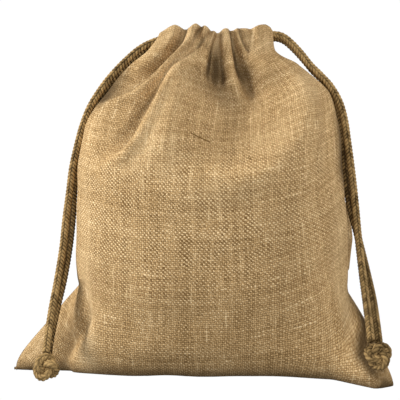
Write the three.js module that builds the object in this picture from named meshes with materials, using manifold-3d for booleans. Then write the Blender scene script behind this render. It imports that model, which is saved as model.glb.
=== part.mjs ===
import * as THREE from "three";
import { mergeVertices } from "three/addons/utils/BufferGeometryUtils.js";
import Module from "manifold-3d";

const wasm = await Module();
wasm.setup();

// Sizes in millimetres. X runs to the right, Y to the back and Z up; the front faces -Y.
const CLOTH_TALL = 400;
const CLOTH_THICK = 2;
const HEM_THICK = 3.4;
const HEM_DEEP = 22;
const SEAM_GAP = 0.3;
const SEAM_EDGE = 1.2;
const SEAM_TUCK = 5;
const BODY_MIDDLE_X = 8;
const CORD_THICK = 7;
const CORD_SIDES = 8;
const CASING_SLOT = 15.6;

const CLOTH_COLOUR = 0xbd9b69;
const CORD_COLOUR = 0x8c7048;

// The filled body: run is the way up the cloth from the base seam, square the fullness of the section.
const SECTIONS = [
  { run: 0, z: 0, seamZ: 0, front: 0, back: 0, left: -106, right: 116, square: 3.6 },
  { run: 30, z: 0, seamZ: 14, front: -30, back: 30, left: -108, right: 120, square: 3.6 },
  { run: 57, z: 0, seamZ: 30, front: -57, back: 55, left: -110, right: 124, square: 3.6 },
  { run: 72, z: 8, seamZ: 42, front: -68, back: 66, left: -112, right: 127, square: 3.3 },
  { run: 98, z: 31, seamZ: 64, front: -78, back: 76, left: -117, right: 131, square: 2.9 },
  { run: 165, z: 97, seamZ: 120, front: -86, back: 83, left: -122, right: 134.5, square: 2.5 },
  { run: 235, z: 166, seamZ: 182, front: -82, back: 78, left: -121, right: 130.5, square: 2.4 },
  { run: 285, z: 213, seamZ: 224, front: -68, back: 64, left: -114.5, right: 128, square: 2.4 },
  { run: 325, z: 249, seamZ: 256, front: -50, back: 47, left: -97, right: 120.5, square: 2.4 },
  { run: 360, z: 279, seamZ: 282, front: -33, back: 33, left: -72, right: 89.5, square: 2.5 },
  { run: 380, z: 296, seamZ: 297, front: -25, back: 26, left: -52, right: 68, square: 2.8 },
  { run: 400, z: 315, seamZ: 316, front: -23, back: 24, left: -43, right: 66, square: 3 },
];

// The bottom corners stand out as ears: a thin flap is drawn out of each side to its tip and bent forward,
// and some of the body's foot goes with it as a skirt; sway turns that end of the foot forward.
const EARS = [
  {
    side: -1, tip: -178, tall: 82, wide: 60, flap: 34, skirt: 0.3, skirtDeep: 110,
    sway: -14, swayFrom: 70, swayTall: 90, bend: -18, bendFrom: 122,
  },
  {
    side: 1, tip: 164, tall: 84, wide: 64, flap: 60, skirt: 0.5, skirtDeep: 120,
    sway: -34, swayFrom: 50, swayTall: 110, bend: -64, bendFrom: 112,
  },
];
const EAR_BLUNT = 0.2;

// Folds of the front, as seen from the front: x and z along each, how deep it cuts in, and half its width.
const FRONT_FOLDS = {
  leftShoulder: [
    { x: -18, z: 324, deep: 13, half: 3 },
    { x: -24, z: 304, deep: 13, half: 3.2 },
    { x: -34, z: 291, deep: 12, half: 3.8 },
    { x: -46, z: 281, deep: 11, half: 4.6 },
    { x: -58, z: 272, deep: 10, half: 6 },
    { x: -71, z: 264, deep: 8, half: 7 },
    { x: -84, z: 257, deep: 5, half: 7 },
    { x: -98, z: 250, deep: 1, half: 7 },
  ],
  shoulderRidge: [
    { x: -14, z: 304, deep: -2, half: 3.5 },
    { x: -26, z: 289, deep: -5, half: 4.5 },
    { x: -40, z: 277, deep: -6, half: 5 },
    { x: -53, z: 267, deep: -5, half: 6 },
    { x: -66, z: 260, deep: -4, half: 7 },
    { x: -80, z: 252, deep: -3, half: 8 },
    { x: -97, z: 246, deep: 0, half: 8 },
  ],
  leftSweep: [
    { x: -1, z: 324, deep: 7, half: 2.8 },
    { x: -6, z: 304, deep: 6, half: 2.8 },
    { x: -17, z: 291, deep: 5, half: 3 },
    { x: -26, z: 283, deep: 7, half: 4 },
    { x: -36, z: 273, deep: 9, half: 5 },
    { x: -44, z: 262, deep: 9, half: 6 },
    { x: -54, z: 244, deep: 9, half: 6.5 },
    { x: -64, z: 222, deep: 8, half: 7 },
    { x: -75, z: 208, deep: 6, half: 7 },
    { x: -86, z: 201, deep: 4, half: 8 },
    { x: -99, z: 195, deep: 0, half: 8 },
  ],
  leftRidge: [
    { x: -13, z: 291, deep: -1, half: 4 },
    { x: -29, z: 276, deep: -3, half: 5 },
    { x: -37, z: 264, deep: -4, half: 6 },
    { x: -43, z: 251, deep: -5, half: 7 },
    { x: -51, z: 236, deep: -5, half: 8 },
    { x: -58, z: 222, deep: -5, half: 8 },
    { x: -67, z: 209, deep: -4, half: 8 },
    { x: -78, z: 200, deep: -3, half: 8 },
    { x: -92, z: 193, deep: 0, half: 8 },
  ],
  leftLeaf: [
    { x: -46, z: 268, deep: 2, half: 10 },
    { x: -62, z: 246, deep: 4, half: 14 },
    { x: -76, z: 224, deep: 4, half: 16 },
    { x: -92, z: 208, deep: 1, half: 16 },
  ],
  pleatTwo: [
    { x: 8, z: 324, deep: 9, half: 3.2 },
    { x: 4, z: 305, deep: 8, half: 3.4 },
    { x: -3, z: 296, deep: 0, half: 4 },
  ],
  hollow: [
    { x: 15, z: 324, deep: 13, half: 3 },
    { x: 12, z: 303, deep: 16, half: 4 },
    { x: 11, z: 290, deep: 21, half: 6.5 },
    { x: 11.5, z: 278, deep: 14, half: 8 },
    { x: 12, z: 266, deep: 5, half: 9 },
    { x: 13, z: 252, deep: 0, half: 10 },
  ],
  rightSweep: [
    { x: 25, z: 324, deep: 10, half: 3 },
    { x: 29.5, z: 300, deep: 13, half: 3.4 },
    { x: 35, z: 284, deep: 15, half: 4.8 },
    { x: 43, z: 268, deep: 9, half: 7 },
    { x: 52, z: 250, deep: 0, half: 10 },
  ],
  pleatThree: [
    { x: 34.5, z: 324, deep: 11, half: 3.2 },
    { x: 39, z: 304, deep: 9, half: 3.6 },
    { x: 45, z: 294, deep: 0, half: 4 },
  ],
  pleatFour: [
    { x: 43.5, z: 324, deep: 11, half: 3.2 },
    { x: 45, z: 306, deep: 9, half: 3.6 },
    { x: 49, z: 295, deep: 0, half: 4 },
  ],
  middle: [
    { x: 14, z: 302, deep: 3, half: 14 },
    { x: 16, z: 288, deep: 8, half: 22 },
    { x: 19, z: 272, deep: 14, half: 26 },
    { x: 23, z: 254, deep: 19, half: 28 },
    { x: 26, z: 238, deep: 20, half: 30 },
    { x: 26, z: 220, deep: 15, half: 33 },
    { x: 24, z: 200, deep: 8, half: 35 },
    { x: 22, z: 180, deep: 0, half: 36 },
  ],
  middleEdge: [
    { x: 38, z: 294, deep: 4, half: 6 },
    { x: 42, z: 282, deep: 8, half: 8 },
    { x: 46, z: 268, deep: 8, half: 9 },
    { x: 49, z: 256, deep: 5, half: 10 },
    { x: 50, z: 242, deep: 0, half: 12 },
  ],
  middleLip: [
    { x: 80, z: 272, deep: -2, half: 10 },
    { x: 87, z: 256, deep: -6, half: 12 },
    { x: 90, z: 240, deep: -8, half: 14 },
    { x: 86, z: 220, deep: -8, half: 15 },
    { x: 76, z: 202, deep: -8, half: 15 },
    { x: 57, z: 186, deep: -7, half: 15 },
    { x: 30, z: 176, deep: -5, half: 15 },
    { x: 0, z: 180, deep: 0, half: 15 },
  ],
  leftPuff: [
    { x: -22, z: 270, deep: -3, half: 9 },
    { x: -26, z: 252, deep: -6, half: 12 },
    { x: -31, z: 230, deep: -8, half: 15 },
    { x: -36, z: 206, deep: -7, half: 17 },
    { x: -40, z: 176, deep: 0, half: 18 },
  ],
  rightCorner: [
    { x: 84, z: 278, deep: -1, half: 9 },
    { x: 91, z: 262, deep: -3, half: 12 },
    { x: 98, z: 240, deep: -4, half: 14 },
    { x: 99, z: 212, deep: -4, half: 16 },
    { x: 95, z: 184, deep: -3, half: 18 },
    { x: 92, z: 150, deep: 0, half: 20 },
  ],
  rightSide: [
    { x: 99, z: 264, deep: 1, half: 7 },
    { x: 108, z: 238, deep: 3, half: 8 },
    { x: 110, z: 206, deep: 3, half: 9 },
    { x: 108, z: 176, deep: 2, half: 10 },
    { x: 106, z: 150, deep: 0, half: 10 },
  ],
  leftEar: [
    { x: -111, z: 78, deep: 3, half: 5 },
    { x: -108, z: 52, deep: 9, half: 7 },
    { x: -116, z: 33, deep: 9, half: 7 },
    { x: -134, z: 13, deep: 3, half: 6 },
  ],
  rightEar: [
    { x: 128, z: 66, deep: 1, half: 9 },
    { x: 135, z: 40, deep: 4, half: 11 },
    { x: 141, z: 20, deep: 1, half: 10 },
  ],
};

// The back is gathered too: even pleats, long and short by turns.
const BACK_PLEATS = { count: 7, first: -28, last: 46, deep: 9, half: 3.2, short: 22, long: 46, spread: 1.5 };

// The back cloth stands out a little beside the right seam.
const BACK_BULGE = [
  { x: 130, z: 168, deep: 0, half: 12 },
  { x: 129, z: 146, deep: -13, half: 13 },
  { x: 127, z: 116, deep: -17, half: 14 },
  { x: 123, z: 90, deep: -16, half: 13 },
  { x: 118, z: 72, deep: 0, half: 10 },
];

// The hem's edge rises and falls with the pleats.
const RIM = [
  { x: -43, rise: -6 },
  { x: -37, rise: -2.5 },
  { x: -32, rise: 0.5 },
  { x: -27, rise: 2 },
  { x: -20, rise: 0 },
  { x: -15, rise: -1 },
  { x: -7, rise: 3 },
  { x: 4, rise: 0 },
  { x: 12, rise: -3 },
  { x: 20, rise: -1 },
  { x: 27, rise: -2 },
  { x: 34, rise: 0 },
  { x: 44, rise: -1 },
  { x: 52, rise: 2 },
  { x: 57, rise: 2.5 },
  { x: 62, rise: 0 },
  { x: 66, rise: -6 },
];

// How far up the cloth each row of facets lies.
const RUNS = [
  0, 20, 40, 57, 67, 81, 99, 122, 149, 178, 204, 224, 241, 256, 270, 283, 296, 308, 320, 331, 341, 351, 360, 369, 378,
  386, 393, 400,
];
const MIDDLE_STEP = 0.66;
const FOLD_LIMIT = 0.7;
const COLUMNS = 54;

// Routes of the cords' middle lines, from the slot at the hem's end down to the knot.
const CORDS = {
  cord_left_front: [
    [-34, -4, 307],
    [-46, -5, 304],
    [-60, -6, 297],
    [-74, -7, 285],
    [-88, -8, 270],
    [-98.5, -8, 256],
    [-107.5, -8, 241],
    [-114, -9, 224],
    [-119, -10, 205],
    [-123.5, -11, 184],
    [-126, -13, 162],
    [-128.5, -19, 138],
    [-130, -29, 112],
    [-133, -42, 84],
    [-136, -56, 60],
    [-137.5, -69, 40],
    [-138.1, -79.1, 25.4],
  ],
  cord_left_back: [
    [-34, 4, 306],
    [-46, 5, 302],
    [-59, 5, 294.5],
    [-73, 4.2, 283.2],
    [-86.4, 3, 269.6],
    [-97.4, 1.2, 257],
    [-106.4, 1, 242],
    [-114.5, 1, 225],
    [-119.5, 1, 205],
    [-122, 0, 184],
    [-123.5, -2, 162],
    [-124, -9, 138],
    [-125.5, -20, 112],
    [-128.8, -34, 84],
    [-133, -48, 60],
    [-136, -60, 40],
    [-137.8, -72.8, 20.5],
  ],
  cord_right_front: [
    [56, -4, 309],
    [68, -6, 310],
    [76, -8, 307],
    [84, -9, 300],
    [92, -10, 291],
    [100, -10, 281],
    [110, -10.5, 271],
    [119, -10.5, 261],
    [127.2, -10.5, 246.5],
    [132, -10, 230],
    [135, -10, 210],
    [139, -10, 180],
    [142, -12, 150],
    [143, -24, 121],
    [143.5, -46, 91],
    [143.5, -67, 70],
    [142.5, -89, 55],
    [141.4, -108.4, 42],
  ],
  cord_right_back: [
    [56, 4, 307],
    [68, 4, 308],
    [77, 3, 305],
    [86, 1, 297],
    [95, 0, 287],
    [104, -1, 276],
    [114.2, -1, 266],
    [122.6, -1, 254],
    [128.2, -1, 237],
    [132.5, -1, 212],
    [135.5, -1, 180],
    [139, -3, 150],
    [144, -14, 121],
    [148.5, -38, 91],
    [150.5, -60, 70],
    [150, -81, 55],
    [148.8, -104, 39.2],
  ],
};
const CORD_STEPS = 20;

// Each knot: its middle, half its width, and how it is turned about X, Y and Z in degrees.
const KNOTS = {
  knot_left: { at: [-138, -82, 13], reach: 12.5, turned: [90, 20, 0] },
  knot_right: { at: [147, -112, 30], reach: 12.5, turned: [70, -35, 10] },
};
const KNOT_PIECES = 6;

// Moves the whole so that the bag's box stands on the origin.
const FRAME_SHIFT = [5.9, 12.85, 0];

function smooth(from, to, value) {
  const share = THREE.MathUtils.clamp((value - from) / (to - from), 0, 1);
  return share * share * (3 - 2 * share);
}

// The value of one column of a table, on a smooth curve that does not overshoot its rows.
function follow(table, by, column, at) {
  const last = table.length - 1;
  const step = (i) => (table[i + 1][column] - table[i][column]) / (table[i + 1][by] - table[i][by]);
  const slope = (i) => {
    if (i === 0) return step(0);
    if (i === last) return step(last - 1);
    const before = step(i - 1);
    const after = step(i);
    return before * after <= 0 ? 0 : (2 * before * after) / (before + after);
  };
  let i = 0;
  while (i < last - 1 && at > table[i + 1][by]) i += 1;
  const length = table[i + 1][by] - table[i][by];
  const share = THREE.MathUtils.clamp((at - table[i][by]) / length, 0, 1);
  const rise = share * share * (3 - 2 * share);
  return (
    table[i][column] * (1 - rise) +
    table[i + 1][column] * rise +
    length * share * (1 - share) * (slope(i) * (1 - share) - slope(i + 1) * share)
  );
}

function sectionAt(run) {
  const row = {};
  for (const column of Object.keys(SECTIONS[0])) row[column] = follow(SECTIONS, "run", column, run);
  return row;
}

// A point of the body before its ears and folds: turn goes from -1 at the left seam to 1 at the right.
function bodyPoint(row, side, turn) {
  const away = Math.abs(turn);
  const angle = (away * Math.PI) / 2;
  const across = Math.sin(angle) ** (2 / row.square);
  const forward = Math.max(0, Math.cos(angle)) ** (2 / row.square);
  const reach = (turn < 0 ? row.left : row.right) - BODY_MIDDLE_X;
  const tuck = SEAM_TUCK * smooth(0.8, 1, away) * Math.sign(turn);
  const low = smooth(0.7, 1, away);
  const lift = low + (away * away - low) * smooth(57, 130, row.run);
  const slot = (CASING_SLOT / 2) * smooth(CLOTH_TALL - 32, CLOTH_TALL - 14, row.run) * smooth(0.3, 1, away);
  return new THREE.Vector3(
    BODY_MIDDLE_X + reach * across - tuck,
    (side < 0 ? row.front : row.back) * forward + side * slot * (1 - forward),
    row.z + (row.seamZ - row.z) * lift,
  );
}

// Where a column of facets lies across the cloth, -1 to 1: closer together in the middle, where the pleats are.
function columnPlace(column, columns) {
  const share = (2 * column) / columns - 1;
  return share * (MIDDLE_STEP + (1 - MIDDLE_STEP) * share * share);
}

// A row of the body, spaced along its length.
function evenRow(side, run, columns) {
  const fine = 200;
  const row = sectionAt(run);
  const points = Array.from({ length: fine + 1 }, (_, i) => bodyPoint(row, side, (2 * i) / fine - 1));
  const lengths = [0];
  for (let i = 1; i <= fine; i += 1) lengths.push(lengths[i - 1] + points[i].distanceTo(points[i - 1]));
  let i = 0;
  return Array.from({ length: columns + 1 }, (_, column) => {
    const wanted = (lengths[fine] * (columnPlace(column, columns) + 1)) / 2;
    while (i < fine - 1 && lengths[i + 1] < wanted) i += 1;
    const share = (wanted - lengths[i]) / (lengths[i + 1] - lengths[i]);
    return points[i].clone().lerp(points[i + 1], share);
  });
}

// Where a point of the body comes to lie once the ears are drawn out of it.
function drawnOut(point) {
  const moved = point.clone();
  for (const ear of EARS) {
    const corner = ear.side < 0 ? SECTIONS[0].left : SECTIONS[0].right;
    const inside = Math.max(0, ear.side * (corner - ear.side * SEAM_TUCK - point.x)) / ear.wide;
    const share = (deep) => {
      const away = Math.hypot(inside, point.z / ear.tall, point.y / deep, EAR_BLUNT) - EAR_BLUNT;
      const left = Math.max(0, 1 - away / (Math.hypot(1, EAR_BLUNT) - EAR_BLUNT));
      return (1.1 * left * left) / (left + 0.1);
    };
    moved.x += (ear.tip - corner) * ((1 - ear.skirt) * share(ear.flap) + ear.skirt * share(ear.skirtDeep));
    const out = ear.side * moved.x;
    const low = 1 - smooth(0, ear.swayTall, point.z);
    moved.y += ear.sway * smooth(ear.swayFrom, ear.side * ear.tip, out) * low;
    moved.y += ear.bend * Math.max(0, (out - ear.bendFrom) / (ear.side * ear.tip - ear.bendFrom)) ** 1.3;
  }
  return moved;
}

// How deep a fold cuts in at a point seen from the front.
function foldDepth(fold, x, z) {
  let nearest = Infinity;
  let depth = 0;
  for (let i = 0; i < fold.length - 1; i += 1) {
    const [a, b] = [fold[i], fold[i + 1]];
    const along = [b.x - a.x, b.z - a.z];
    const share = THREE.MathUtils.clamp(
      ((x - a.x) * along[0] + (z - a.z) * along[1]) / (along[0] ** 2 + along[1] ** 2),
      0,
      1,
    );
    const away = Math.hypot(x - a.x - along[0] * share, z - a.z - along[1] * share);
    const half = a.half + (b.half - a.half) * share;
    if (away / half < nearest) {
      nearest = away / half;
      depth = (a.deep + (b.deep - a.deep) * share) * Math.exp(-nearest * nearest);
    }
  }
  return depth;
}

function backFolds() {
  const { count, first, last, deep, half, short, long, spread } = BACK_PLEATS;
  return Array.from({ length: count }, (_, i) => {
    const x = first + ((last - first) * i) / (count - 1);
    const drop = i % 2 ? long : short;
    const foot = BODY_MIDDLE_X + (x - BODY_MIDDLE_X) * spread;
    return [
      { x, z: 324, deep, half },
      { x: (x + foot) / 2, z: 316 - drop / 2, deep: deep * 0.8, half: half * 1.2 },
      { x: foot, z: 316 - drop, deep: 0, half: half * 2 },
    ];
  });
}

function gridNormals(grid, side) {
  return grid.map((row, r) =>
    row.map((_, c) => {
      const across = row[Math.min(c + 1, row.length - 1)].clone().sub(row[Math.max(c - 1, 0)]);
      const up = grid[Math.min(r + 1, grid.length - 1)][c].clone().sub(grid[Math.max(r - 1, 0)][c]);
      return across.cross(up).multiplyScalar(-side).normalize();
    }),
  );
}

// A sewn panel: outer and inner faces of the sheet, joined along its four edges.
function panel(side, folds, bulge) {
  const runs = RUNS;
  const columns = COLUMNS;
  const body = runs.map((run) => evenRow(side, run, columns));
  const bodyOut = gridNormals(body, side);
  const edgeShare = (r, c) =>
    Math.max(smooth(0.55, 0.95, Math.abs(columnPlace(c, columns))), smooth(0, 57, runs[r]));
  const outer = body.map((row, r) =>
    row.map((point, c) => {
      const seen = drawnOut(point);
      const free = 1 - smooth(0.76, 0.95, Math.abs(columnPlace(c, columns)));
      const swell = bulge ? foldDepth(bulge, seen.x, seen.z) * free : 0;
      const inward = folds.reduce((sum, fold) => sum + foldDepth(fold, seen.x, seen.z), swell);
      const moved = point.clone();
      moved.addScaledVector(bodyOut[r][c], -Math.min(inward, FOLD_LIMIT * Math.abs(point.y)));
      moved.y += side * (SEAM_GAP / 2 + SEAM_EDGE * edgeShare(r, c));
      moved.z += follow(RIM, "x", "rise", point.x) * smooth(CLOTH_TALL - HEM_DEEP, CLOTH_TALL, runs[r]);
      return moved;
    }),
  );
  const out = gridNormals(outer, side);
  const inner = outer.map((row, r) =>
    row.map((point, c) => {
      const hem = smooth(CLOTH_TALL - 60, CLOTH_TALL - 30, runs[r]);
      const place = Math.abs(columnPlace(c, columns));
      const sheet = out[r][c].clone().multiplyScalar(-CLOTH_THICK);
      sheet.lerp(new THREE.Vector3(0, -side * HEM_THICK, 0), hem * (1 - smooth(0.6, 0.85, place)));
      const atSide = c === 0 || c === columns;
      const inset = c === 0 ? 1 : -1;
      if (atSide) sheet.set(inset * (1 + hem), -side * SEAM_EDGE * (1 - hem), r === 0 ? 1 : 0);
      else if (r === 0) sheet.set(0, -side * SEAM_EDGE * edgeShare(r, c), CLOTH_THICK);
      const made = point.clone().add(sheet);
      const limit = (side * SEAM_GAP) / 2;
      if (side * (made.y - limit) < 0) made.y = limit;
      return made;
    }),
  );
  for (const row of [...outer, ...inner]) for (const point of row) point.copy(drawnOut(point));
  const top = runs.length - 1;
  const crown = outer[top].map((point, c) =>
    point.clone().lerp(inner[top][c], 0.5).add(new THREE.Vector3(0, 0, HEM_THICK * 0.35)),
  );
  const points = [...outer.flat(), ...crown, ...inner.flat()];
  const wide = columns + 1;
  const outside = (r, c) => r * wide + c;
  const ridge = (c) => (top + 1) * wide + c;
  const inside = (r, c) => (top + 2 + r) * wide + c;
  const faces = [];
  const face = (a, b, c) => (side < 0 ? faces.push(a, b, c) : faces.push(a, c, b));
  const quad = (a, b, c, d) => {
    const short = points[a].distanceTo(points[c]) < points[b].distanceTo(points[d]);
    face(a, b, short ? c : d);
    face(short ? a : b, c, d);
  };
  for (let c = 0; c < columns; c += 1) {
    for (let r = 0; r < top; r += 1) {
      quad(outside(r, c), outside(r, c + 1), outside(r + 1, c + 1), outside(r + 1, c));
      quad(inside(r, c), inside(r + 1, c), inside(r + 1, c + 1), inside(r, c + 1));
    }
    quad(outside(top, c), outside(top, c + 1), ridge(c + 1), ridge(c));
    quad(ridge(c), ridge(c + 1), inside(top, c + 1), inside(top, c));
    quad(inside(0, c), inside(0, c + 1), outside(0, c + 1), outside(0, c));
  }
  for (let r = 0; r < top; r += 1) {
    quad(outside(r, 0), outside(r + 1, 0), inside(r + 1, 0), inside(r, 0));
    quad(inside(r, columns), inside(r + 1, columns), outside(r + 1, columns), outside(r, columns));
  }
  face(outside(top, 0), ridge(0), inside(top, 0));
  face(outside(top, columns), inside(top, columns), ridge(columns));
  const geometry = new THREE.BufferGeometry();
  geometry.setFromPoints(points);
  geometry.setIndex(faces);
  geometry.computeVertexNormals();
  return geometry;
}

function tube(points, thick, sides, steps) {
  const outline = new THREE.Shape(
    Array.from({ length: sides }, (_, i) => {
      const angle = (2 * Math.PI * i) / sides;
      return new THREE.Vector2(Math.cos(angle), Math.sin(angle)).multiplyScalar(thick / 2);
    }),
  );
  const path = new THREE.CatmullRomCurve3(points.map((point) => new THREE.Vector3(...point)));
  return new THREE.ExtrudeGeometry(outline, { steps, bevelEnabled: false, extrudePath: path });
}

function solidOf(geometry) {
  const bare = new THREE.BufferGeometry();
  bare.setAttribute("position", geometry.getAttribute("position"));
  const merged = mergeVertices(bare, 1e-3);
  return new wasm.Manifold(
    new wasm.Mesh({
      numProp: 3,
      vertProperties: merged.attributes.position.array,
      triVerts: new Uint32Array(merged.index.array),
    }),
  );
}

// An overhand knot drawn tight: one closed turn of cord that passes through itself three times.
function knot({ at, reach, turned }) {
  const scale = (reach - CORD_THICK / 2) / 3;
  const turn = new THREE.Euler(...turned.map(THREE.MathUtils.degToRad));
  const place = (way) => {
    const angle = way * 2 * Math.PI;
    const out = 2 + Math.cos(3 * angle);
    return new THREE.Vector3(out * Math.cos(2 * angle), out * Math.sin(2 * angle), 1.25 * Math.sin(3 * angle))
      .multiplyScalar(scale)
      .applyEuler(turn)
      .add(new THREE.Vector3(...at))
      .toArray();
  };
  const pieces = Array.from({ length: KNOT_PIECES }, (_, i) => {
    const ways = Array.from({ length: 7 }, (_, j) => place((i + (j / 6) * 1.08 - 0.04) / KNOT_PIECES));
    return solidOf(tube(ways, CORD_THICK, CORD_SIDES, 6));
  });
  const shells = pieces.reduce((sum, piece) => sum.add(piece)).decompose();
  const whole = shells.find((shell) => shell.volume() > 0).getMesh();
  const geometry = new THREE.BufferGeometry();
  geometry.setAttribute("position", new THREE.BufferAttribute(new Float32Array(whole.vertProperties), 3));
  geometry.setIndex(new THREE.BufferAttribute(new Uint32Array(whole.triVerts), 1));
  geometry.computeVertexNormals();
  return geometry;
}

const bag = new THREE.Group();
function add(name, geometry, colour) {
  const material = new THREE.MeshStandardMaterial({ color: colour, roughness: 0.95, metalness: 0 });
  const mesh = new THREE.Mesh(geometry, material);
  mesh.name = name;
  mesh.position.set(...FRAME_SHIFT);
  bag.add(mesh);
}
add("front_panel", panel(-1, Object.values(FRONT_FOLDS)), CLOTH_COLOUR);
add("back_panel", panel(1, backFolds(), BACK_BULGE), CLOTH_COLOUR);
for (const [name, route] of Object.entries(CORDS)) {
  add(name, tube(route, CORD_THICK, CORD_SIDES, CORD_STEPS), CORD_COLOUR);
}
for (const [name, tie] of Object.entries(KNOTS)) add(name, knot(tie), CORD_COLOUR);

export default bag;
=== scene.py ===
import math
from types import SimpleNamespace

import bpy
import numpy as np
from mathutils import Euler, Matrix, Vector


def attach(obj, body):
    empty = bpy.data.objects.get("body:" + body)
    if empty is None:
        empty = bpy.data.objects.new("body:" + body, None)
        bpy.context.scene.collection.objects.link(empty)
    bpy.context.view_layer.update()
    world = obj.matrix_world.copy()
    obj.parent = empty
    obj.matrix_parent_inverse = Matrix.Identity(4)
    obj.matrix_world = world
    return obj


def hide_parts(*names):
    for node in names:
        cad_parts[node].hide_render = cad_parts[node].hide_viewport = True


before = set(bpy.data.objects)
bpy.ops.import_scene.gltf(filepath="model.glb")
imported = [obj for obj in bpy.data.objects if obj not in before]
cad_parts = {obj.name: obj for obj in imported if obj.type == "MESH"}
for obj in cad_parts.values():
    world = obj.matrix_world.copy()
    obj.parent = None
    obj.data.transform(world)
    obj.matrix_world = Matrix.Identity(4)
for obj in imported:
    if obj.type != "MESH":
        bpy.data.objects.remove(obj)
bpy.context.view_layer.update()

# Sizes in millimetres, as in the solids. X runs to the right, Y to the back and Z up; the front faces -Y.
MM = 0.001
FRAME_SHIFT = np.array([5.9, 12.85, 0.0])
CLOTH_WIDE = 350
CLOTH_TALL = 400
CLOTH_THICK = 2
HEM_THICK = 3.4
HEM_DEEP = 22
HEM_CROWN = 0.35
SEAM_GAP = 0.3
SEAM_EDGE = 1.2
SEAM_TUCK = 5
BODY_MIDDLE_X = 8
CORD_THICK = 7
CASING_SLOT = 15.6

# Runs up the cloth. The slot for the cords and the doubled hem are measured down from the mouth.
BASE_RUN = 57
LIFT_RUN = (57, 130)
SLOT_FROM = 32
SLOT_FULL = 14
HEM_FROM = 60
HEM_FULL = 30

# Where things start and end across the cloth, from 0 in the middle to 1 at the side seams.
SEAM_NEAR = (0.55, 0.95)
TUCK_NEAR = (0.8, 1)
LIFT_NEAR = (0.7, 1)
SLOT_NEAR = (0.3, 1)
HEM_FADE = (0.6, 0.85)
BULGE_FADE = (0.76, 0.95)
LUMPS_FADE = (0.86, 1)

# A panel's grid: rows lie closer from this run up to the mouth, and columns closer in the middle.
CLOSE_ROWS_FROM = 300
ROWS_BELOW = 145
ROWS_ABOVE = 72
COLUMNS = 201
MIDDLE_STEP = 0.66
SEAM_STEP = 0.34
FINE_COLUMNS = 401

# Slight lumps of the cloth: how high, from what run in full, and the lengths of their waves.
LUMPS_HIGH = 0.8
LUMPS_FULL = 40
LUMP_WAVES = 9
LUMP_LENGTHS = (38, 95)

# How the threads lie: upright ones lean below a run on the right, level ones rise to the right in a curve.
THREAD_PITCH = 1.85
WEAVE_LEAN = 0.12
LEAN_TOP = 230
LEAN_TALL = 130
LEAN_RIGHT = (40, 120)
WEAVE_RISE = 0.0013
RISE_STRAIGHT_FROM = 110
EAR_STRETCH = 1.15
CROWN_LONG = 1.5

# The filled body: run is the way up the cloth from the base seam, square the fullness of the section.
SECTION_COLUMNS = ("run", "z", "seam_z", "front", "back", "left", "right", "square")
SECTIONS = [
    (0, 0, 0, 0, 0, -106, 116, 3.6),
    (30, 0, 14, -30, 30, -108, 120, 3.6),
    (57, 0, 30, -57, 55, -110, 124, 3.6),
    (72, 8, 42, -68, 66, -112, 127, 3.3),
    (98, 31, 64, -78, 76, -117, 131, 2.9),
    (165, 97, 120, -86, 83, -122, 134.5, 2.5),
    (235, 166, 182, -82, 78, -121, 130.5, 2.4),
    (285, 213, 224, -68, 64, -114.5, 128, 2.4),
    (325, 249, 256, -50, 47, -97, 120.5, 2.4),
    (360, 279, 282, -33, 33, -72, 89.5, 2.5),
    (380, 296, 297, -25, 26, -52, 68, 2.8),
    (400, 315, 316, -23, 24, -43, 66, 3),
]

# The bottom corners stand out as ears, each drawn out to its tip and bent forward.
EARS = [
    dict(
        side=-1, tip=-178, tall=82, wide=60, flap=34, skirt=0.3, skirt_deep=110,
        sway=-14, sway_from=70, sway_tall=90, bend=-18, bend_from=122,
    ),
    dict(
        side=1, tip=164, tall=84, wide=64, flap=60, skirt=0.5, skirt_deep=120,
        sway=-34, sway_from=50, sway_tall=110, bend=-64, bend_from=112,
    ),
]
EAR_BLUNT = 0.2
EAR_SOFT = 0.1
EAR_BEND_CURVE = 1.3

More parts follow.
